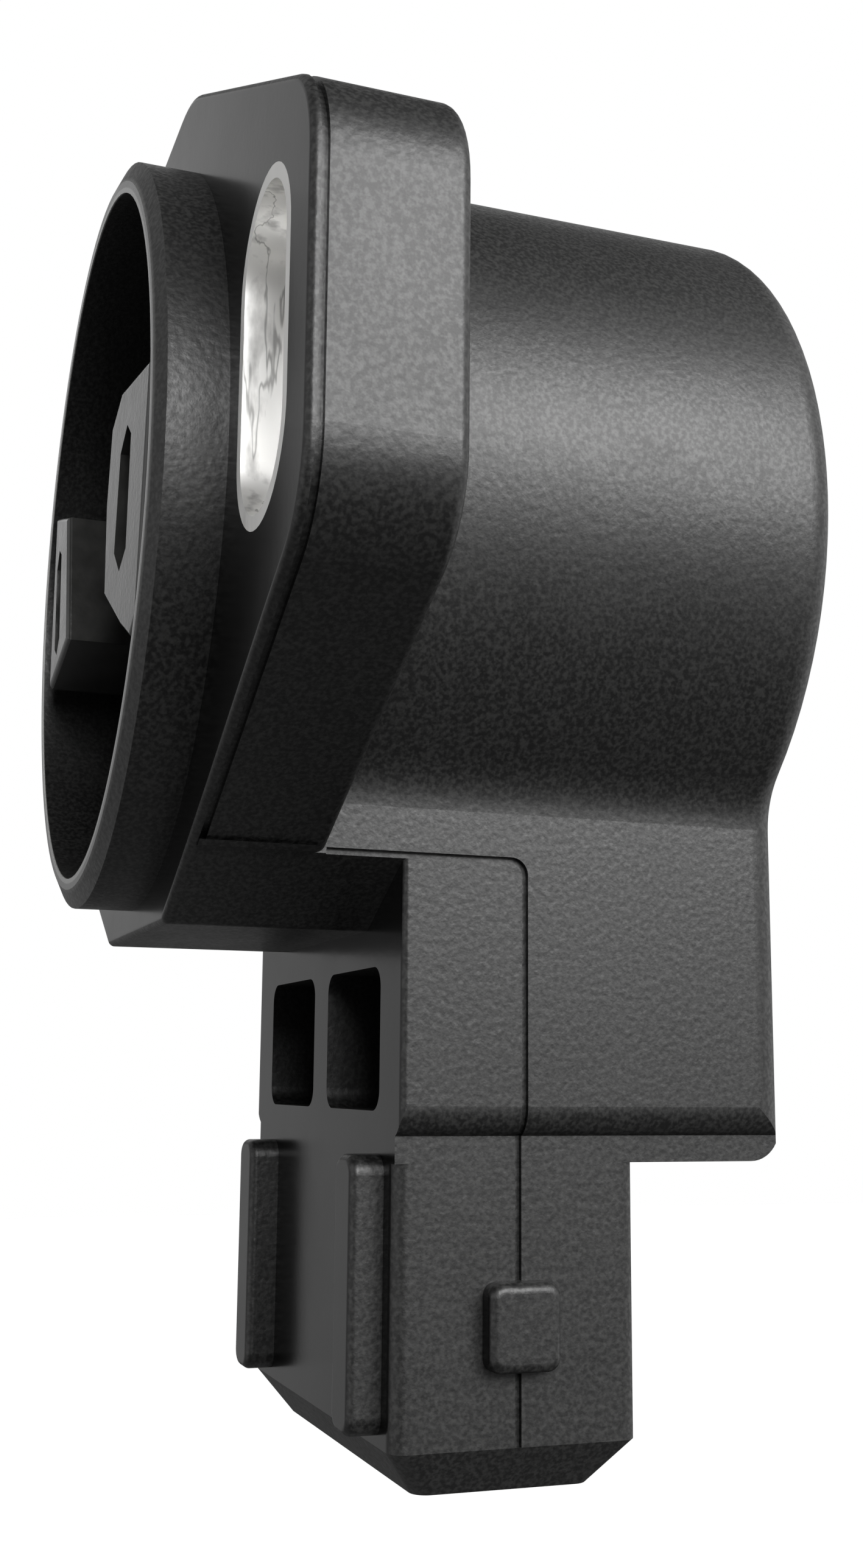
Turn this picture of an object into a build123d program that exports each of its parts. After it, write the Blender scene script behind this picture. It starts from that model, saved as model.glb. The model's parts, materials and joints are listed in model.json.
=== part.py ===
"""Throttle position sensor: flanged housing with a blade socket, slotted inserts and a turning rotor."""
import math
import os

from build123d import *

os.makedirs("parts", exist_ok=True)

# Mounting flange: front face on Y 0, rotor axis along Y through the origin
# Heights of the flange, block and socket are measured from the flange's middle, which lies above the axis
FLANGE_RISE = 0.6
FLANGE_HALF_WIDTH = 28.0
FLANGE_HALF_HEIGHT = 18.8
FLANGE_FLAT_HALF = 6.9
FLANGE_END_HALF = 7.3
FLANGE_THICKNESS = 5.65
EAR_CORNER_RADIUS = 4.4
TOP_CORNER_RADIUS = 8.0
BOTTOM_CORNER_RADIUS = 0.8
FLANGE_EDGE_RADIUS = 0.3
FLANGE_BACK_RADIUS = 0.5

# Pilot collar that locates the sensor in the throttle body
COLLAR_RADIUS = 17.0
COLLAR_HEIGHT = 2.8
COLLAR_WALL = 1.35
COLLAR_BEVEL_WIDTH = 0.85
COLLAR_BEVEL_DEPTH = 0.4

# Slotted metal inserts in the ears, for M5 screws
SLOT_TO_END = 6.0
SLOT_RISE = 0.2
SLOT_WIDTH = 6.0
SLOT_HEIGHT = 12.1
INSERT_WALL = 0.55

# Drum behind the flange and the block below it
DRUM_RADIUS = 17.4
DRUM_BACK = 26.6
DRUM_BACK_EDGE_RADIUS = 1.4
BLOCK_PROUD = 0.75
BLOCK_STEP = -27.35
BLOCK_BOTTOM = -28.45
BLOCK_BEVEL_HEIGHT = 1.2
BLOCK_EDGE_RADIUS = 0.3
BLOCK_DRUM_FILLET = 3.0

# Socket shroud, open at the bottom
SHROUD_HALF_WIDTH = 11.0
SHROUD_FRONT = 8.95
SHROUD_DEPTH = 10.7
SHROUD_CORNER_RADIUS = 0.7
SHROUD_BOTTOM = -41.45
SHROUD_LEAD_HEIGHT = 1.9
SHROUD_LEAD_INSET = 1.5
SHROUD_WALL = 1.85
SOCKET_FLOOR = -29.0

# Core pockets and coding rails on the front of the block
POCKET_INNER = 1.1
POCKET_OUTER = 8.9
POCKET_TOP = -20.4
POCKET_BOTTOM = -26.4
POCKET_DEPTH = 3.6
POCKET_CORNER_RADIUS = 0.9
RAIL_INNER = 7.2
RAIL_OUTER = 9.65
RAIL_TOP = -28.15
RAIL_BOTTOM = -39.15
RAIL_HEIGHT = 1.4
RAIL_END_RADIUS = 0.8
RAIL_EDGE_RADIUS = 0.35

# Latch nubs on the two narrow sides of the shroud
NUB_WIDTH = 3.1
NUB_TOP = -33.1
NUB_LENGTH = 3.5
NUB_HEIGHT = 1.0
NUB_CORNER_RADIUS = 0.55
NUB_EDGE_RADIUS = 0.4

# Parting line left by the mould
SEAM_WIDTH = 0.28
SEAM_DEPTH = 0.25
SEAM_BEND_RADIUS = 0.6
SEAM_FLANGE_SETBACK = 0.35
SEAM_RISE = 2.75
FLASH_WIDTH = 0.2
FLASH_HEIGHT = 0.12

# Cavities and bearing wall
CAVITY_RADIUS = COLLAR_RADIUS - COLLAR_WALL
BEARING_WALL_FRONT = 5.6
BEARING_WALL_BACK = 9.6
DRUM_WALL = 4.0
BOARD_LEDGE = 1.0
COVER_LEDGE = 1.2
BOARD_SEAT = 19.0
COVER_SETBACK = 0.2

# Rotor
RUNNING_CLEARANCE = 0.05
JOURNAL_RADIUS = 4.0
STUB_RADIUS = 3.0
DISC_CLEARANCE = 0.7
DISC_FRONT = 3.2
AXIAL_PLAY = 0.3
JOURNAL_END = 12.6
STUB_END = 15.0
NEAR_JAW_FRONT = -2.1
FAR_JAW_FRONT = -2.7
JAW_RECESS_DEPTH = 4.2
JAW_EDGE_RADIUS = 0.25
NEAR_JAW_CORNERS = [
    (1.0, -2.8),
    (5.9, -5.4),
    (8.6, -6.6),
    (9.9, -6.0),
    (11.2, 4.6),
    (4.0, 6.0),
    (1.4, 5.2),
    (0.6, 1.6),
]
FAR_JAW_CORNERS = [(-6.9, -2.9), (-8.8, 4.1), (-13.4, 5.5), (-13.2, -4.1)]
NEAR_RECESS_CORNERS = [(5.9, 3.7), (4.3, 2.9), (3.6, -1.5), (5.2, -2.8), (6.8, -2.2), (7.0, 2.9)]
FAR_RECESS_CORNERS = [(-9.9, -2.1), (-10.6, 2.6), (-11.5, 3.1), (-12.2, 2.2), (-11.7, -2.3), (-10.8, -2.8)]

# Pieces on the rotor's journal
PRESS_CLEARANCE = 0.02
RING_THICKNESS = 1.0
RING_RADIUS = 6.0
CARRIER_RADIUS = 7.0
WIPER_THICKNESS = 0.3
WIPER_WIDTH = 1.8
WIPER_GAP = 0.6
WIPER_ROOT = 1.5
WIPER_BEND = 4.0
WIPER_TRACK_CLEARANCE = 0.05

# Track board
BOARD_THICKNESS = 1.0
BOARD_CLEARANCE = 0.2
TRACK_THICKNESS = 0.1
TRACK_WIDTH = 2.0
OUTER_TRACK_RADIUS = 10.5
INNER_TRACK_RADIUS = 7.5
TRACK_GAP_HALF_ANGLE = 58

# Terminal blades
BLADE_PITCH = 5.0
BLADE_WIDTH = 2.8
BLADE_THICKNESS = 0.8
BLADE_TIP = -36.5
BLADE_TIP_CHAMFER = 0.3
PIN_WIDTH = 1.2
PIN_WALL_GAP = 1.8
PIN_PROUD = 0.9
PIN_HOLE_CLEARANCE = 0.05
SOLDER_RADIUS = 1.1
SOLDER_HEIGHT = 0.7

# Rear cover
COVER_THICKNESS = 2.0
COVER_CLEARANCE = 0.05
COVER_EDGE_CHAMFER = 0.4

# How far a cut runs past a face, how deep a raised feature is rooted, and how near counts as the same
OVERCUT = 1.0
ROOT = 0.5
SAME_PLACE = 0.01

SHROUD_MIDDLE = SHROUD_FRONT + SHROUD_DEPTH / 2
SEAM_LEVEL = SEAM_RISE - FLANGE_HALF_HEIGHT
NUB_BOTTOM = NUB_TOP - NUB_LENGTH
INSERT_WIDTH = SLOT_WIDTH + 2 * INSERT_WALL
INSERT_HEIGHT = SLOT_HEIGHT + 2 * INSERT_WALL
SLOT_OFFSET = FLANGE_HALF_WIDTH - SLOT_TO_END
BLOCK_HALF_WIDTH = SHROUD_HALF_WIDTH + BLOCK_PROUD
REAR_CAVITY_RADIUS = DRUM_RADIUS - DRUM_WALL
BOARD_SEAT_RADIUS = REAR_CAVITY_RADIUS + BOARD_LEDGE
COVER_SEAT_RADIUS = BOARD_SEAT_RADIUS + COVER_LEDGE
COVER_SEAT = DRUM_BACK - COVER_SETBACK - COVER_THICKNESS
DISC_RADIUS = CAVITY_RADIUS - DISC_CLEARANCE
BOARD_RADIUS = BOARD_SEAT_RADIUS - BOARD_CLEARANCE
PIN_LEVEL = PIN_WALL_GAP - REAR_CAVITY_RADIUS
PIN_END = BOARD_SEAT + BOARD_THICKNESS + PIN_PROUD


def slab(outline, y_front, y_back):
    """A solid with an outline drawn in X and Z, from y_front to y_back."""
    return extrude(Plane.XZ.offset(-y_front) * outline, -(y_back - y_front))


def box(x0, x1, y0, y1, z0, z1):
    """A box between two corners."""
    return Pos((x0 + x1) / 2, (y0 + y1) / 2, (z0 + z1) / 2) * Box(x1 - x0, y1 - y0, z1 - z0)


def upright_slot(width, height):
    """A stadium outline standing along Z."""
    return SlotOverall(height, width, rotation=90)


def corners_near(outline, x, z):
    """The four mirrored corners of an outline at plus or minus x and at z."""
    return [v for v in outline.vertices() if abs(abs(v.X) - x) < SAME_PLACE and abs(v.Y - z) < SAME_PLACE]


raised = Pos(0, 0, FLANGE_RISE)
drum_centre = Pos(0, FLANGE_RISE)

# Flange outline: a lozenge with blunt ends, flat at top and bottom
flange_outline = make_face(
    Polyline(
        (-FLANGE_FLAT_HALF, -FLANGE_HALF_HEIGHT),
        (FLANGE_FLAT_HALF, -FLANGE_HALF_HEIGHT),
        (FLANGE_HALF_WIDTH, -FLANGE_END_HALF),
        (FLANGE_HALF_WIDTH, FLANGE_END_HALF),
        (FLANGE_FLAT_HALF, FLANGE_HALF_HEIGHT),
        (-FLANGE_FLAT_HALF, FLANGE_HALF_HEIGHT),
        (-FLANGE_HALF_WIDTH, FLANGE_END_HALF),
        (-FLANGE_HALF_WIDTH, -FLANGE_END_HALF),
        close=True,
    )
)
flange_outline = fillet(corners_near(flange_outline, FLANGE_HALF_WIDTH, FLANGE_END_HALF), EAR_CORNER_RADIUS)
flange_outline = fillet(corners_near(flange_outline, FLANGE_HALF_WIDTH, -FLANGE_END_HALF), EAR_CORNER_RADIUS)
flange_outline = fillet(corners_near(flange_outline, FLANGE_FLAT_HALF, FLANGE_HALF_HEIGHT), TOP_CORNER_RADIUS)
bottom_corners = corners_near(flange_outline, FLANGE_FLAT_HALF, -FLANGE_HALF_HEIGHT)
flange_outline = fillet(bottom_corners, BOTTOM_CORNER_RADIUS)
flange = slab(flange_outline, 0, FLANGE_THICKNESS)
flange = fillet(flange.faces().sort_by(Axis.Y)[0].edges(), FLANGE_EDGE_RADIUS)
flange = fillet(flange.faces().sort_by(Axis.Y)[-1].edges(), FLANGE_BACK_RADIUS)

# Drum and block share one outline, with a soft hollow where they meet
block_outline = Pos(0, BLOCK_BOTTOM / 2) * Rectangle(2 * BLOCK_HALF_WIDTH, -BLOCK_BOTTOM)
body_outline = Circle(DRUM_RADIUS) + block_outline
join_level = -math.sqrt(DRUM_RADIUS**2 - BLOCK_HALF_WIDTH**2)
joins = corners_near(body_outline, BLOCK_HALF_WIDTH, join_level)
body_outline = fillet(joins, BLOCK_DRUM_FILLET)
body = slab(body_outline, SHROUD_FRONT, DRUM_BACK)
body = fillet(body.faces().sort_by(Axis.Y)[-1].outer_wire().edges(), DRUM_BACK_EDGE_RADIUS)
front_corners = [e for e in body.edges().filter_by(Axis.Z) if abs(e.center().Y - SHROUD_FRONT) < SAME_PLACE]
body = fillet(front_corners, BLOCK_EDGE_RADIUS)

# The foot of the block is set in below a rounded edge on both sides
bevel_top = BLOCK_STEP + BLOCK_BEVEL_HEIGHT


def bevel_arc(inset):
    """The rounded edge in X and Z, set in by a little."""
    upper = (BLOCK_HALF_WIDTH - inset, bevel_top)
    lower = (SHROUD_HALF_WIDTH - inset, BLOCK_STEP)
    return TangentArc(upper, lower, tangent=(0, -1))


undercut_sides = Polyline(
    (SHROUD_HALF_WIDTH, BLOCK_STEP),
    (SHROUD_HALF_WIDTH, BLOCK_BOTTOM - OVERCUT),
    (BLOCK_HALF_WIDTH + OVERCUT, BLOCK_BOTTOM - OVERCUT),
    (BLOCK_HALF_WIDTH + OVERCUT, bevel_top),
    (BLOCK_HALF_WIDTH, bevel_top),
)
undercut_outline = make_face([bevel_arc(0), undercut_sides])
undercut = slab(undercut_outline, SHROUD_FRONT - OVERCUT, DRUM_BACK + OVERCUT)
body = body - undercut - mirror(undercut, Plane.YZ)

# Above the parting line the body runs forward to the flange
above_seam = Pos(0, SEAM_LEVEL + 2 * DRUM_RADIUS) * Rectangle(4 * DRUM_RADIUS, 4 * DRUM_RADIUS)
body_front_outline = Circle(DRUM_RADIUS) + (body_outline & above_seam)
body_front = slab(body_front_outline, FLANGE_THICKNESS - ROOT, SHROUD_FRONT + ROOT)

# Below it a neck carries the flange's outline back to the block
neck_middle = Pos(0, SEAM_LEVEL + ROOT - FLANGE_HALF_HEIGHT)
below_seam = neck_middle * Rectangle(2 * BLOCK_HALF_WIDTH, 2 * FLANGE_HALF_HEIGHT)
neck = slab(flange_outline & below_seam, FLANGE_THICKNESS - FLANGE_BACK_RADIUS - ROOT, SHROUD_FRONT + ROOT)

# Shroud with a tapered lead-in at its mouth
shroud_back = SHROUD_FRONT + SHROUD_DEPTH
shroud_section = RectangleRounded(2 * SHROUD_HALF_WIDTH, SHROUD_DEPTH, SHROUD_CORNER_RADIUS)
mouth_section = RectangleRounded(
    2 * (SHROUD_HALF_WIDTH - SHROUD_LEAD_INSET),
    SHROUD_DEPTH - 2 * SHROUD_LEAD_INSET,
    SHROUD_CORNER_RADIUS,
)
lead_top = SHROUD_BOTTOM + SHROUD_LEAD_HEIGHT
shroud = extrude(Pos(0, SHROUD_MIDDLE, lead_top) * shroud_section, bevel_top - lead_top)
lead_in = loft([
    Pos(0, SHROUD_MIDDLE, SHROUD_BOTTOM) * mouth_section,
    Pos(0, SHROUD_MIDDLE, lead_top) * shroud_section,
])

housing = flange + body + body_front + neck + shroud + lead_in

# Coding rails on the front of the shroud and latch nubs on its sides
rail_place = Pos((RAIL_INNER + RAIL_OUTER) / 2, (RAIL_TOP + RAIL_BOTTOM) / 2)
rail_outline = rail_place * RectangleRounded(RAIL_OUTER - RAIL_INNER, RAIL_TOP - RAIL_BOTTOM, RAIL_END_RADIUS)
rail = slab(rail_outline, SHROUD_FRONT - RAIL_HEIGHT, SHROUD_FRONT + ROOT)
rail = fillet(rail.faces().sort_by(Axis.Y)[0].edges(), RAIL_EDGE_RADIUS)
nub_place = Pos(SHROUD_MIDDLE, (NUB_TOP + NUB_BOTTOM) / 2)
nub_outline = nub_place * RectangleRounded(NUB_WIDTH, NUB_LENGTH, NUB_CORNER_RADIUS)
nub = extrude(Plane.YZ.offset(SHROUD_HALF_WIDTH - ROOT) * nub_outline, NUB_HEIGHT + ROOT)
nub = fillet(nub.faces().sort_by(Axis.X)[-1].edges(), NUB_EDGE_RADIUS)
for feature in (rail, nub):
    housing = housing + feature + mirror(feature, Plane.YZ)

# Core pockets either side of the middle rib
pocket_place = Pos((POCKET_INNER + POCKET_OUTER) / 2, (POCKET_TOP + POCKET_BOTTOM) / 2)
pocket_outline = pocket_place * RectangleRounded(
    POCKET_OUTER - POCKET_INNER, POCKET_TOP - POCKET_BOTTOM, POCKET_CORNER_RADIUS
)
pocket = slab(pocket_outline, SHROUD_FRONT - OVERCUT, SHROUD_FRONT + POCKET_DEPTH)
housing = housing - pocket - mirror(pocket, Plane.YZ)

# Socket
housing -= box(
    SHROUD_WALL - SHROUD_HALF_WIDTH,
    SHROUD_HALF_WIDTH - SHROUD_WALL,
    SHROUD_FRONT + SHROUD_WALL,
    shroud_back - SHROUD_WALL,
    SHROUD_BOTTOM - OVERCUT,
    SOCKET_FLOOR,
)

# Parting line: a groove round the flange and down the sides, a thin flash across the slants
seam_ring = offset(flange_outline, OVERCUT) - offset(flange_outline, -SEAM_DEPTH)
seam_middle = Pos(0, SEAM_LEVEL + FLANGE_HALF_WIDTH)
flange_above = seam_middle * Rectangle(4 * FLANGE_HALF_WIDTH, 2 * FLANGE_HALF_WIDTH)
housing -= slab(seam_ring & flange_above, SEAM_FLANGE_SETBACK, SEAM_FLANGE_SETBACK + SEAM_WIDTH)
flash_ring = offset(flange_outline, FLASH_HEIGHT) - offset(flange_outline, -SEAM_DEPTH)
flash_band = Pos(0, SEAM_LEVEL) * Rectangle(4 * FLANGE_HALF_WIDTH, FLASH_WIDTH)
housing += slab(flash_ring & flash_band, SEAM_FLANGE_SETBACK, FLANGE_THICKNESS - FLANGE_BACK_RADIUS)
seam_low = SHROUD_MIDDLE - SEAM_WIDTH / 2
seam_high = SHROUD_MIDDLE + SEAM_WIDTH / 2
seam_path = FilletPolyline(
    (FLANGE_THICKNESS, SEAM_LEVEL),
    (SHROUD_MIDDLE, SEAM_LEVEL),
    (SHROUD_MIDDLE, bevel_top),
    radius=SEAM_BEND_RADIUS,
)
block_groove = extrude(
    Plane.YZ.offset(BLOCK_HALF_WIDTH - SEAM_DEPTH) * trace(seam_path, SEAM_WIDTH), SEAM_DEPTH + OVERCUT
)
bevel_groove_sides = Polyline(
    (SHROUD_HALF_WIDTH - SEAM_DEPTH, BLOCK_STEP),
    (BLOCK_HALF_WIDTH + OVERCUT, BLOCK_STEP),
    (BLOCK_HALF_WIDTH + OVERCUT, bevel_top),
    (BLOCK_HALF_WIDTH - SEAM_DEPTH, bevel_top),
)
bevel_groove_outline = make_face([bevel_arc(SEAM_DEPTH), bevel_groove_sides])
side_grooves = [block_groove, slab(bevel_groove_outline, seam_low, seam_high)]
for z_low, z_high in ((NUB_TOP, BLOCK_STEP), (lead_top, NUB_BOTTOM)):
    x_deep = SHROUD_HALF_WIDTH - SEAM_DEPTH
    side_grooves.append(box(x_deep, SHROUD_HALF_WIDTH + OVERCUT, seam_low, seam_high, z_low, z_high))
for groove in side_grooves:
    housing = housing - groove - mirror(groove, Plane.YZ)

# From here on heights are measured from the rotor axis
housing = raised * housing

# Collar with a bevelled front
bevel_back = COLLAR_BEVEL_DEPTH - COLLAR_HEIGHT
housing += slab(Circle(COLLAR_RADIUS), bevel_back, ROOT)
housing += loft([
    Plane.XZ.offset(COLLAR_HEIGHT) * Circle(COLLAR_RADIUS - COLLAR_BEVEL_WIDTH),
    Plane.XZ.offset(-bevel_back) * Circle(COLLAR_RADIUS),
])

# Rotor cavity, bearing bore, rear cavity, board seat and cover seat
housing -= slab(Circle(CAVITY_RADIUS), -COLLAR_HEIGHT - OVERCUT, BEARING_WALL_FRONT)
bore_outline = Circle(JOURNAL_RADIUS + RUNNING_CLEARANCE)
housing -= slab(bore_outline, BEARING_WALL_FRONT - OVERCUT, BEARING_WALL_BACK + OVERCUT)
housing -= slab(Circle(REAR_CAVITY_RADIUS), BEARING_WALL_BACK, BOARD_SEAT)
housing -= slab(Circle(BOARD_SEAT_RADIUS), BOARD_SEAT, COVER_SEAT)
housing -= slab(drum_centre * Circle(COVER_SEAT_RADIUS), COVER_SEAT, DRUM_BACK + OVERCUT)

# Slotted inserts, flush with both faces of the flange
inserts = {}
for name, side in (("slot_insert_near", 1), ("slot_insert_far", -1)):
    place = Pos(side * SLOT_OFFSET, SLOT_RISE + FLANGE_RISE)
    hole_outline = place * upright_slot(INSERT_WIDTH, INSERT_HEIGHT)
    housing -= slab(hole_outline, -COLLAR_HEIGHT - OVERCUT, FLANGE_THICKNESS)
    insert_outline = hole_outline - place * upright_slot(SLOT_WIDTH, SLOT_HEIGHT)
    inserts[name] = slab(insert_outline, 0, FLANGE_THICKNESS)

# Terminal blades: up from the socket, then back through the track board
terminals = {}
solders = {}
board = slab(Circle(BOARD_RADIUS), BOARD_SEAT, BOARD_SEAT + BOARD_THICKNESS)
for name, place in (("supply", -1), ("signal", 0), ("ground", 1)):
    x = place * BLADE_PITCH
    blade = box(
        x - BLADE_WIDTH / 2,
        x + BLADE_WIDTH / 2,
        SHROUD_MIDDLE - BLADE_THICKNESS / 2,
        SHROUD_MIDDLE + BLADE_THICKNESS / 2,
        BLADE_TIP + FLANGE_RISE,
        PIN_LEVEL + BLADE_THICKNESS / 2,
    )
    blade = chamfer(blade.faces().sort_by(Axis.Z)[0].edges(), BLADE_TIP_CHAMFER)
    pin = box(
        x - PIN_WIDTH / 2,
        x + PIN_WIDTH / 2,
        SHROUD_MIDDLE,
        PIN_END,
        PIN_LEVEL - BLADE_THICKNESS / 2,
        PIN_LEVEL + BLADE_THICKNESS / 2,
    )
    terminals[name] = blade + pin
    board -= box(
        x - PIN_WIDTH / 2 - PIN_HOLE_CLEARANCE,
        x + PIN_WIDTH / 2 + PIN_HOLE_CLEARANCE,
        BOARD_SEAT - OVERCUT,
        BOARD_SEAT + BOARD_THICKNESS + OVERCUT,
        PIN_LEVEL - BLADE_THICKNESS / 2 - PIN_HOLE_CLEARANCE,
        PIN_LEVEL + BLADE_THICKNESS / 2 + PIN_HOLE_CLEARANCE,
    )
    solder_front = BOARD_SEAT + BOARD_THICKNESS
    solder = slab(Pos(x, PIN_LEVEL) * Circle(SOLDER_RADIUS), solder_front, solder_front + SOLDER_HEIGHT)
    solders[name] = solder - pin
    housing -= blade

# Rotor: disc with two drive jaws in front, journal and stub behind
disc_back = BEARING_WALL_FRONT - AXIAL_PLAY
rotor = slab(Circle(DISC_RADIUS), DISC_FRONT, disc_back)
rotor += slab(Circle(JOURNAL_RADIUS), DISC_FRONT, JOURNAL_END)
rotor += slab(Circle(STUB_RADIUS), DISC_FRONT, STUB_END)
for corners, recess_corners, front in (
    (NEAR_JAW_CORNERS, NEAR_RECESS_CORNERS, NEAR_JAW_FRONT),
    (FAR_JAW_CORNERS, FAR_RECESS_CORNERS, FAR_JAW_FRONT),
):
    jaw = slab(make_face(Polyline(*corners, close=True)), front, DISC_FRONT + ROOT)
    jaw = fillet(jaw.faces().sort_by(Axis.Y)[0].edges(), JAW_EDGE_RADIUS)
    recess_outline = make_face(Polyline(*recess_corners, close=True))
    rotor += jaw - slab(recess_outline, front - OVERCUT, front + JAW_RECESS_DEPTH)

# Retaining ring and wiper carrier on the rotor's journal
ring_front = BEARING_WALL_BACK + AXIAL_PLAY
ring_outline = Circle(RING_RADIUS) - Circle(JOURNAL_RADIUS + PRESS_CLEARANCE)
retaining_ring = slab(ring_outline, ring_front, ring_front + RING_THICKNESS)
carrier_outline = Circle(CARRIER_RADIUS) - Circle(STUB_RADIUS + PRESS_CLEARANCE)
wiper_carrier = slab(carrier_outline, JOURNAL_END, STUB_END)

# Wiper: one spring strip with a finger for each track
wiper_tip = BOARD_SEAT - TRACK_THICKNESS - WIPER_TRACK_CLEARANCE
wiper_front = STUB_END


def wiper_finger(x0, x1, tip_radius):
    """A strip that lies on the carrier and bends back to a track."""
    strip = make_face(
        Polyline(
            (wiper_front, WIPER_ROOT),
            (wiper_front + WIPER_THICKNESS, WIPER_ROOT),
            (wiper_front + WIPER_THICKNESS, WIPER_BEND),
            (wiper_tip, tip_radius - WIPER_THICKNESS),
            (wiper_tip, tip_radius + WIPER_THICKNESS),
            (wiper_front, WIPER_BEND + WIPER_THICKNESS),
            close=True,
        )
    )
    return extrude(Plane.YZ.offset(x0) * strip, x1 - x0)


wiper = wiper_finger(-WIPER_GAP / 2 - WIPER_WIDTH, -WIPER_GAP / 2, OUTER_TRACK_RADIUS)
wiper += wiper_finger(WIPER_GAP / 2, WIPER_GAP / 2 + WIPER_WIDTH, INNER_TRACK_RADIUS)
wiper += box(-WIPER_GAP, WIPER_GAP, wiper_front, wiper_front + WIPER_THICKNESS, WIPER_ROOT, WIPER_BEND - ROOT)


def track(radius):
    """A printed arc on the front of the board, open at the bottom for the pins."""
    ring = Circle(radius + TRACK_WIDTH / 2) - Circle(radius - TRACK_WIDTH / 2)
    reach = 2 * radius
    side = reach * math.sin(math.radians(TRACK_GAP_HALF_ANGLE))
    drop = reach * math.cos(math.radians(TRACK_GAP_HALF_ANGLE))
    wedge = make_face(Polyline((0, 0), (-side, -drop), (0, -2 * reach), (side, -drop), close=True))
    return slab(ring - wedge, BOARD_SEAT - TRACK_THICKNESS, BOARD_SEAT)


# Rear cover, set into the back of the drum
cover_outline = drum_centre * Circle(COVER_SEAT_RADIUS - COVER_CLEARANCE)
cover = slab(cover_outline, COVER_SEAT, COVER_SEAT + COVER_THICKNESS)
cover = chamfer(cover.edges().sort_by(Axis.Y)[-1], COVER_EDGE_CHAMFER)

export_step(housing, "parts/housing.step")
export_step(inserts["slot_insert_near"], "parts/slot_insert_near.step")
export_step(inserts["slot_insert_far"], "parts/slot_insert_far.step")
export_step(terminals["supply"], "parts/terminal_supply.step")
export_step(terminals["signal"], "parts/terminal_signal.step")
export_step(terminals["ground"], "parts/terminal_ground.step")
export_step(solders["supply"], "parts/solder_supply.step")
export_step(solders["signal"], "parts/solder_signal.step")
export_step(solders["ground"], "parts/solder_ground.step")
export_step(rotor, "parts/rotor.step")
export_step(retaining_ring, "parts/retaining_ring.step")
export_step(wiper_carrier, "parts/wiper_carrier.step")
export_step(wiper, "parts/wiper.step")
export_step(board, "parts/track_board.step")
export_step(track(OUTER_TRACK_RADIUS), "parts/resistance_track.step")
export_step(track(INNER_TRACK_RADIUS), "parts/collector_track.step")
export_step(cover, "parts/rear_cover.step")
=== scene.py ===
import json
import math

import bpy
from mathutils import Matrix, Vector

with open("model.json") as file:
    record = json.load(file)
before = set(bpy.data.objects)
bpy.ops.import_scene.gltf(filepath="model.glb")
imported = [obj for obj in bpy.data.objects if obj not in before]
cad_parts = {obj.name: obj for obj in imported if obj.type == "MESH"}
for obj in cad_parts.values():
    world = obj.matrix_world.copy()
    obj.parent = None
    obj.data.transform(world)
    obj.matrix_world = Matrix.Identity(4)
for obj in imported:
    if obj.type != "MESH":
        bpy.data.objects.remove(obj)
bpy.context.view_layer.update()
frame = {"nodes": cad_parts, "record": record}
nodes = frame["nodes"]

# Camera as fitted to the photograph: metres, degrees, and millimetres for its lens
CAMERA_PLACE = (0.07639, -0.01304, -0.02447)
CAMERA_YAW = 70.295
CAMERA_PITCH = 9.939
CAMERA_ROLL = 0.491
CAMERA_LENS = 38.65
CAMERA_SENSOR = 36.0
CAMERA_NEAREST = 0.002
CAMERA_FARTHEST = 20.0

# Lamps, all turned to one point: name, place, width, height and watts
LAMP_TARGET = (0.01, 0.0, -0.005)
LAMPS = (
    ("key", (0.347, 0.21, 0.206), 0.2, 0.28, 1.8),
    ("side", (0.417, -0.021, 0.185), 0.18, 0.22, 1.7),
)

# Where the pale far wall and the glow of the key light stand
FAR_SIDE = (-0.8, -0.5, 0.33)
KEY_SIDE = (0.87, 0.36, 0.34)

# Brightness of the room's two sides, and what the far wall, the ground and the key's glow add
ROOM_DARK = 0.03
ROOM_PALE = 0.12
FAR_WALL = 0.22
GROUND = 0.16
KEY_GLOW = 0.6

# Where each of those starts and is full, as shares of its direction
ROOM_SPAN = (-0.2, 0.55)
FAR_WALL_SPAN = (0.55, 0.9)
GROUND_SPAN = (-0.5, -1.0)
KEY_GLOW_SPAN = (0.6, 1.0)

# The white backdrop as reflections see it: each side's direction, and where it starts and is full
BACKDROP_SIDES = (
    ((-0.87, 0.31, 0.38), 0.88, 0.96),
    ((0.2, -0.975, 0.1), 0.7, 0.97),
    ((0.1, 0.965, 0.25), 0.6, 0.95),
)

# The floor lies well below the sensor, which hangs on its flange in use
FLOOR_SIZE = 8.0
FLOOR_LEVEL = -0.35
FLOOR_TONES = ((0.9, 0.9, 0.9), (0.93, 0.93, 0.93))
FLOOR_MOTTLE_SCALE = 3.0
FLOOR_GLOW = 0.95
FLOOR_ROUGHNESS = 0.9

# The middle range of a noise
NOISE_LOW = 0.3
NOISE_HIGH = 0.7

# Black moulding: its body, its pale flecks and the painted highlight on the collar's rim
BLACK_BODY = (0.003, 0.003, 0.003)
BLACK_FLECK = (0.024, 0.024, 0.0235)
# Pale colour of the painted highlight on the collar's rim
RIM_HIGHLIGHT_PAINT = (0.6, 0.6, 0.59)

# The collar's rim lies in front of this depth, and a painted highlight makes it bright inside
# this radius
RIM_LEVEL = -0.00272
RIM_HIGHLIGHT_RADIUS = 0.01583
RIM_BLEND = 0.00006
RIM_REST = 0.15

# Front faces of the moulding are smoother: where that starts and is full, and the grain they keep
SMOOTH_START = 0.92
SMOOTH_FULL = 0.98
SMOOTH_GRAIN = 0.1
SMOOTH_ROUGHNESS = 0.2
GRAINED_ROUGHNESS = 0.45

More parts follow.
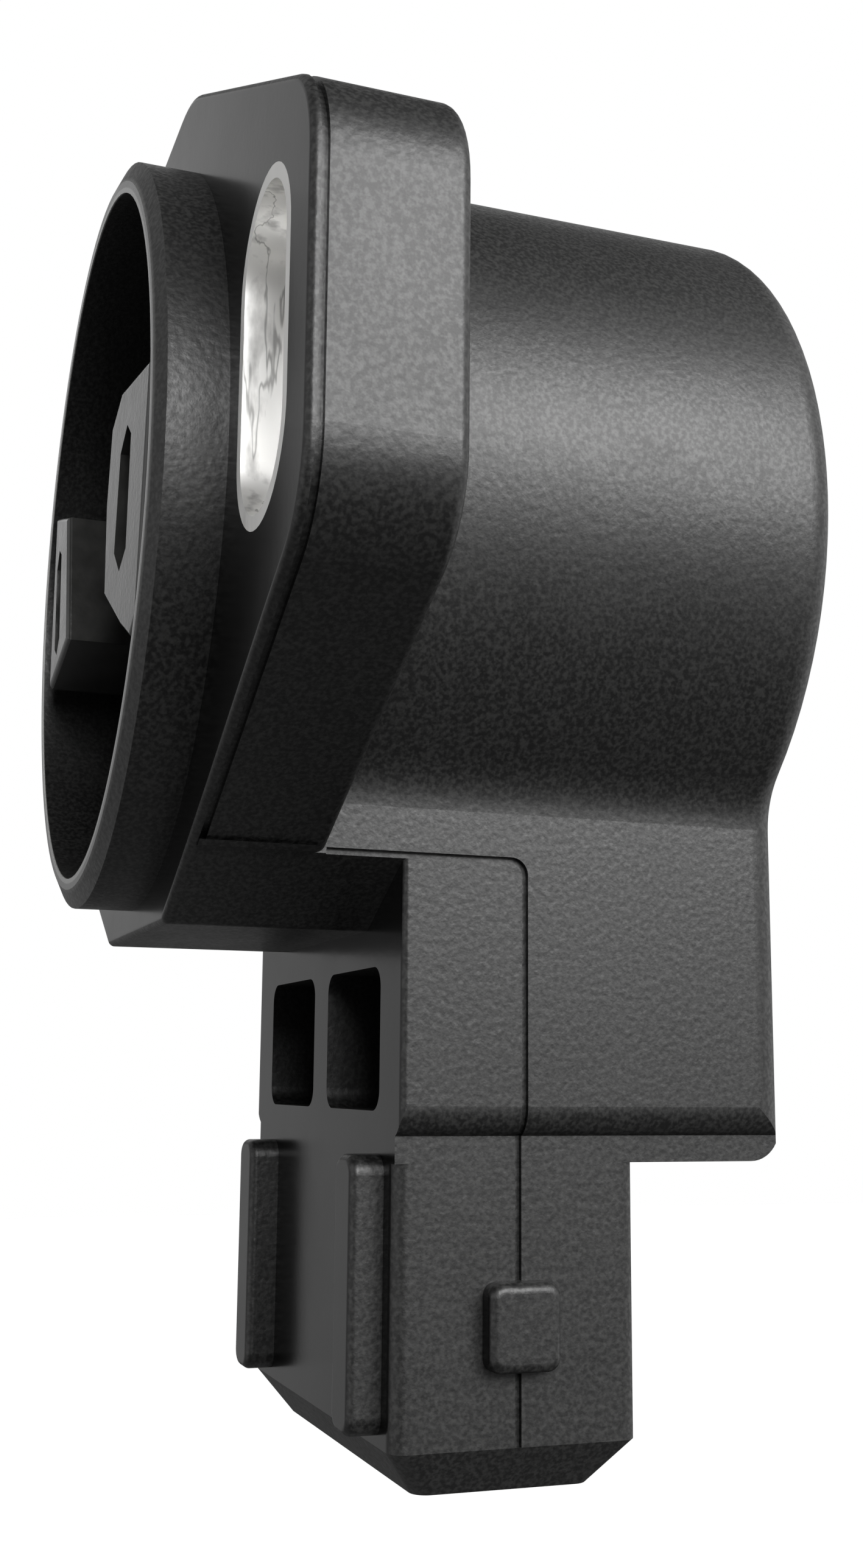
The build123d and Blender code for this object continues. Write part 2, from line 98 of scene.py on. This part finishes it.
# Grain, flecks and dull patches of the moulding
GRAIN_SCALE = 2900.0
GRAIN_DEPTH = 0.00006
GRAIN_STRENGTH = 0.4
FLECK_SCALE = 5200.0
FLECK_SPAN = (0.4, 0.65)
FLECK_ROUGHNESS = -0.06
PATCH_SCALE = 300.0
PATCH_ROUGHNESS = 0.02

# Metal: front faces are clean and diffuse the light more
CLEAN_SPAN = (0.4, 0.8)
CLEAN_ROUGHNESS = 0.2

# Metal walls are brushed along the slot, and dull where the brushing is deep
BRUSH_SCALE = (2200.0, 900.0, 330.0)
BRUSH_DEPTH = 0.00003
BRUSH_STRENGTH = 0.3
BRUSH_ROUGHNESS = 0.12
DULL_SPAN = (0.3, 0.46)
DULL_TONE = 0.35

# Scratches run along the slot where a noise crosses one level
SCRATCH_SCALE = (620.0, 620.0, 75.0)
SCRATCH_LEVEL = 0.57
SCRATCH_SPAN = (0.002, 0.012)
SCRATCH_TONE = 0.3
SHADE = 0.3

# Plain plastics
MOTTLE_SCALE = 700.0
PLAIN_ROUGHNESS = (0.12, 0.2)
PLAIN_IOR = 1.62
FINE_SCALE = 4000.0
FINE_DEPTH = 0.00003
FINE_STRENGTH = 0.25


def material(name):
    """A new node material, with its tree and shader."""
    made = bpy.data.materials.new(name)
    made.use_nodes = True
    tree = made.node_tree
    return made, tree, tree.nodes["Principled BSDF"]


def coordinates(tree):
    """Places, normals and directions to paint by."""
    return tree.nodes.new("ShaderNodeTexCoord").outputs


def split(tree, vector):
    """The X, Y and Z of a vector."""
    node = tree.nodes.new("ShaderNodeSeparateXYZ")
    tree.links.new(vector, node.inputs["Vector"])
    return node.outputs


def stretched(tree, vector, scale):
    """A vector scaled along each axis."""
    node = tree.nodes.new("ShaderNodeMapping")
    node.inputs["Scale"].default_value = scale
    tree.links.new(vector, node.inputs["Vector"])
    return node.outputs["Vector"]


def noise(tree, vector, scale, detail):
    """A noise texture."""
    node = tree.nodes.new("ShaderNodeTexNoise")
    node.inputs["Scale"].default_value = scale
    node.inputs["Detail"].default_value = detail
    tree.links.new(vector, node.inputs["Vector"])
    return node.outputs["Fac"]


def ramp(tree, value, low, high, start, end):
    """A value stretched from low..high to start..end, held at both ends."""
    node = tree.nodes.new("ShaderNodeMapRange")
    node.inputs["From Min"].default_value = low
    node.inputs["From Max"].default_value = high
    node.inputs["To Min"].default_value = start
    node.inputs["To Max"].default_value = end
    tree.links.new(value, node.inputs["Value"])
    return node.outputs["Result"]


def maths(tree, operation, a, b=0.0):
    """One operation on two values; each is a socket or a number."""
    node = tree.nodes.new("ShaderNodeMath")
    node.operation = operation
    for value, socket in ((a, node.inputs[0]), (b, node.inputs[1])):
        if isinstance(value, float):
            socket.default_value = value
        else:
            tree.links.new(value, socket)
    return node.outputs["Value"]


def blend(tree, factor, low, high):
    """A colour between two; the low one is a socket or three numbers."""
    node = tree.nodes.new("ShaderNodeMix")
    node.data_type = "RGBA"
    if isinstance(low, tuple):
        node.inputs["A"].default_value = (*low, 1)
    else:
        tree.links.new(low, node.inputs["A"])
    node.inputs["B"].default_value = (*high, 1)
    tree.links.new(factor, node.inputs["Factor"])
    return node.outputs["Result"]


def towards(tree, direction, side):
    """How nearly a direction points at one side: 1 is straight at it."""
    node = tree.nodes.new("ShaderNodeVectorMath")
    node.operation = "DOT_PRODUCT"
    node.inputs[1].default_value = side
    tree.links.new(direction, node.inputs[0])
    return node.outputs["Value"]


def bump(tree, shader, height, distance, strength):
    """Small relief on a shader; its strength is a socket or a number."""
    node = tree.nodes.new("ShaderNodeBump")
    node.inputs["Distance"].default_value = distance
    if isinstance(strength, float):
        node.inputs["Strength"].default_value = strength
    else:
        tree.links.new(strength, node.inputs["Strength"])
    tree.links.new(height, node.inputs["Height"])
    tree.links.new(node.outputs["Normal"], shader.inputs["Normal"])


def painted_rim_highlight(tree, place):
    """The collar's rim, with a painted highlight strongest along its inner edge."""
    across = maths(tree, "MULTIPLY", place["X"], place["X"])
    upright = maths(tree, "MULTIPLY", place["Z"], place["Z"])
    radius = maths(tree, "SQRT", maths(tree, "ADD", across, upright))
    # The painted highlight is full inside the radius and fades to the rest level outside it
    highlight_share = ramp(tree, radius, RIM_HIGHLIGHT_RADIUS, RIM_HIGHLIGHT_RADIUS + RIM_BLEND, 1.0, RIM_REST)
    rim = ramp(tree, place["Y"], RIM_LEVEL, RIM_LEVEL - RIM_BLEND, 0.0, 1.0)
    return maths(tree, "MULTIPLY", rim, highlight_share)


def black_plastic(name):
    """Black moulding: grained sides, smoother front faces, and a painted highlight on the
    collar's rim.
    """
    made, tree, shader = material(name)
    coords = coordinates(tree)
    place = coords["Object"]
    facing = maths(tree, "ABSOLUTE", split(tree, coords["Normal"])["Y"])
    grained = ramp(tree, facing, SMOOTH_START, SMOOTH_FULL, 1.0, SMOOTH_GRAIN)
    grain = noise(tree, place, GRAIN_SCALE, 3.0)
    flecks = noise(tree, place, FLECK_SCALE, 2.0)
    patches = noise(tree, place, PATCH_SCALE, 3.0)
    speck = maths(tree, "MULTIPLY", ramp(tree, flecks, *FLECK_SPAN, 0.0, 1.0), grained)
    colour = blend(tree, speck, BLACK_BODY, BLACK_FLECK)
    # Painted highlight: a pale colour laid along the collar's rim
    colour = blend(tree, painted_rim_highlight(tree, split(tree, place)), colour, RIM_HIGHLIGHT_PAINT)
    tree.links.new(colour, shader.inputs["Base Color"])
    rough = ramp(tree, grained, SMOOTH_GRAIN, 1.0, SMOOTH_ROUGHNESS, GRAINED_ROUGHNESS)
    rough = maths(tree, "ADD", rough, maths(tree, "MULTIPLY", speck, FLECK_ROUGHNESS))
    change = ramp(tree, patches, NOISE_LOW, NOISE_HIGH, -PATCH_ROUGHNESS, PATCH_ROUGHNESS)
    tree.links.new(maths(tree, "ADD", rough, change), shader.inputs["Roughness"])
    bump(tree, shader, grain, GRAIN_DEPTH, maths(tree, "MULTIPLY", grained, GRAIN_STRENGTH))
    return made


def plated_metal(name, colour, roughness):
    """Bright metal: clean front faces, and long scratches and dull patches on the walls."""
    made, tree, shader = material(name)
    coords = coordinates(tree)
    facing = maths(tree, "ABSOLUTE", split(tree, coords["Normal"])["Y"])
    front = ramp(tree, facing, *CLEAN_SPAN, 0.0, 1.0)
    brushed = noise(tree, stretched(tree, coords["Object"], BRUSH_SCALE), 1.0, 5.0)
    lines = noise(tree, stretched(tree, coords["Object"], SCRATCH_SCALE), 1.0, 4.0)
    scratch = maths(tree, "ABSOLUTE", maths(tree, "SUBTRACT", lines, SCRATCH_LEVEL))
    clean = ramp(tree, scratch, *SCRATCH_SPAN, SCRATCH_TONE, 1.0)
    dull = ramp(tree, brushed, *DULL_SPAN, DULL_TONE, 1.0)
    bright = maths(tree, "MAXIMUM", maths(tree, "MULTIPLY", clean, dull), front)
    dark = tuple(SHADE * c for c in colour)
    tree.links.new(blend(tree, bright, dark, colour), shader.inputs["Base Color"])
    shader.inputs["Metallic"].default_value = 1.0
    rough = ramp(tree, brushed, NOISE_LOW, NOISE_HIGH, roughness, roughness + BRUSH_ROUGHNESS)
    rough = maths(tree, "ADD", rough, maths(tree, "MULTIPLY", front, CLEAN_ROUGHNESS))
    tree.links.new(rough, shader.inputs["Roughness"])
    bump(tree, shader, brushed, BRUSH_DEPTH, BRUSH_STRENGTH)
    return made


def plain_plastic(name, low, high):
    """Plain moulding with a faint mottle."""
    made, tree, shader = material(name)
    place = coordinates(tree)["Object"]
    patches = noise(tree, place, MOTTLE_SCALE, 4.0)
    mottle = ramp(tree, patches, NOISE_LOW, NOISE_HIGH, 0.0, 1.0)
    tree.links.new(blend(tree, mottle, low, high), shader.inputs["Base Color"])
    rough = ramp(tree, patches, NOISE_LOW, NOISE_HIGH, *PLAIN_ROUGHNESS)
    tree.links.new(rough, shader.inputs["Roughness"])
    shader.inputs["IOR"].default_value = PLAIN_IOR
    bump(tree, shader, noise(tree, place, FINE_SCALE, 2.0), FINE_DEPTH, FINE_STRENGTH)
    return made


def soft_light(name, place, width, height, watts):
    """A rectangular studio light that looks at the sensor."""
    data = bpy.data.lights.new(name, "AREA")
    data.shape = "RECTANGLE"
    data.size = width
    data.size_y = height
    data.energy = watts
    lamp = bpy.data.objects.new(name, data)
    bpy.context.scene.collection.objects.link(lamp)
    lamp.location = place
    lamp.rotation_mode = "QUATERNION"
    lamp.rotation_quaternion = (Vector(LAMP_TARGET) - Vector(place)).to_track_quat("-Z", "Y")


# Materials
finishes = {
    "black_plastic": black_plastic("black_plastic"),
    "insert_steel": plated_metal("insert_steel", (0.95, 0.945, 0.93), 0.32),
    "terminal_brass": plated_metal("terminal_brass", (0.75, 0.7, 0.58), 0.25),
    "solder": plated_metal("solder", (0.6, 0.6, 0.61), 0.35),
    "rotor_plastic": plain_plastic("rotor_plastic", (0.03, 0.03, 0.029), (0.05, 0.05, 0.048)),
    "spring_steel": plated_metal("spring_steel", (0.58, 0.58, 0.58), 0.3),
    "board": plain_plastic("board", (0.2, 0.16, 0.08), (0.27, 0.22, 0.12)),
    "carbon_ink": plain_plastic("carbon_ink", (0.015, 0.015, 0.015), (0.03, 0.03, 0.03)),
}
for part in frame["record"]["subparts"]:
    piece = nodes[part["node"]]
    piece.data.materials.clear()
    piece.data.materials.append(finishes[part["material_slot"]])

# Floor
bpy.ops.mesh.primitive_plane_add(size=FLOOR_SIZE, location=(0, 0, FLOOR_LEVEL))
floor = bpy.context.object
floor.name = "floor"
floor_finish, floor_tree, floor_shader = material("floor")
floor_mottle = noise(floor_tree, coordinates(floor_tree)["Object"], FLOOR_MOTTLE_SCALE, 2.0)
floor_tone = blend(floor_tree, floor_mottle, *FLOOR_TONES)
floor_tree.links.new(floor_tone, floor_shader.inputs["Base Color"])
floor_tree.links.new(floor_tone, floor_shader.inputs["Emission Color"])
floor_shader.inputs["Emission Strength"].default_value = FLOOR_GLOW
floor_shader.inputs["Roughness"].default_value = FLOOR_ROUGHNESS
floor.data.materials.append(floor_finish)
floor.visible_diffuse = False
floor.visible_glossy = False

# Surroundings: white to the eye, and a dim room with white sides for the reflections
world = bpy.data.worlds.new("studio")
bpy.context.scene.world = world
world.use_nodes = True
sky = world.node_tree
sky.nodes.clear()
gaze = coordinates(sky)["Generated"]
far_share = towards(sky, gaze, FAR_SIDE)
room = ramp(sky, far_share, *ROOM_SPAN, ROOM_DARK, ROOM_PALE)
far_wall = ramp(sky, far_share, *FAR_WALL_SPAN, 0.0, FAR_WALL)
ground = ramp(sky, split(sky, gaze)["Z"], *GROUND_SPAN, 0.0, GROUND)
glow = ramp(sky, towards(sky, gaze, KEY_SIDE), *KEY_GLOW_SPAN, 0.0, KEY_GLOW)
walls = maths(sky, "ADD", room, far_wall)
surround = maths(sky, "ADD", walls, maths(sky, "ADD", ground, glow))
path = sky.nodes.new("ShaderNodeLightPath").outputs
mirrored = maths(sky, "MAXIMUM", path["Is Glossy Ray"], path["Is Transmission Ray"])
shown = path["Is Camera Ray"]
for direction, start, full in BACKDROP_SIDES:
    backdrop = ramp(sky, towards(sky, gaze, direction), start, full, 0.0, 1.0)
    shown = maths(sky, "MAXIMUM", shown, maths(sky, "MULTIPLY", mirrored, backdrop))
strength = sky.nodes.new("ShaderNodeMix")
strength.inputs["B"].default_value = 1.0
sky.links.new(shown, strength.inputs["Factor"])
sky.links.new(surround, strength.inputs["A"])
background = sky.nodes.new("ShaderNodeBackground")
background.inputs["Color"].default_value = (1, 1, 1, 1)
sky.links.new(strength.outputs["Result"], background.inputs["Strength"])
sky_out = sky.nodes.new("ShaderNodeOutputWorld")
sky.links.new(background.outputs["Background"], sky_out.inputs["Surface"])

# Lamps
for lamp_values in LAMPS:
    soft_light(*lamp_values)

# Camera
yaw, pitch, roll = (math.radians(v) for v in (CAMERA_YAW, CAMERA_PITCH, CAMERA_ROLL))
reach = math.cos(pitch)
forward = Vector((-math.sin(yaw) * reach, math.cos(yaw) * reach, math.sin(pitch)))
level = Vector((math.cos(yaw), math.sin(yaw), 0.0))
upright = level.cross(forward)
right = math.cos(roll) * level + math.sin(roll) * upright
up = math.cos(roll) * upright - math.sin(roll) * level
turn = Matrix((right, up, -forward)).transposed().to_4x4()
camera_data = bpy.data.cameras.new("camera")
camera_data.lens = CAMERA_LENS
camera_data.sensor_width = CAMERA_SENSOR
camera_data.clip_start = CAMERA_NEAREST
camera_data.clip_end = CAMERA_FARTHEST
camera = bpy.data.objects.new("camera", camera_data)
bpy.context.scene.collection.objects.link(camera)
camera.matrix_world = Matrix.Translation(CAMERA_PLACE) @ turn
bpy.context.scene.camera = camera
bpy.context.scene.view_settings.view_transform = "Standard"
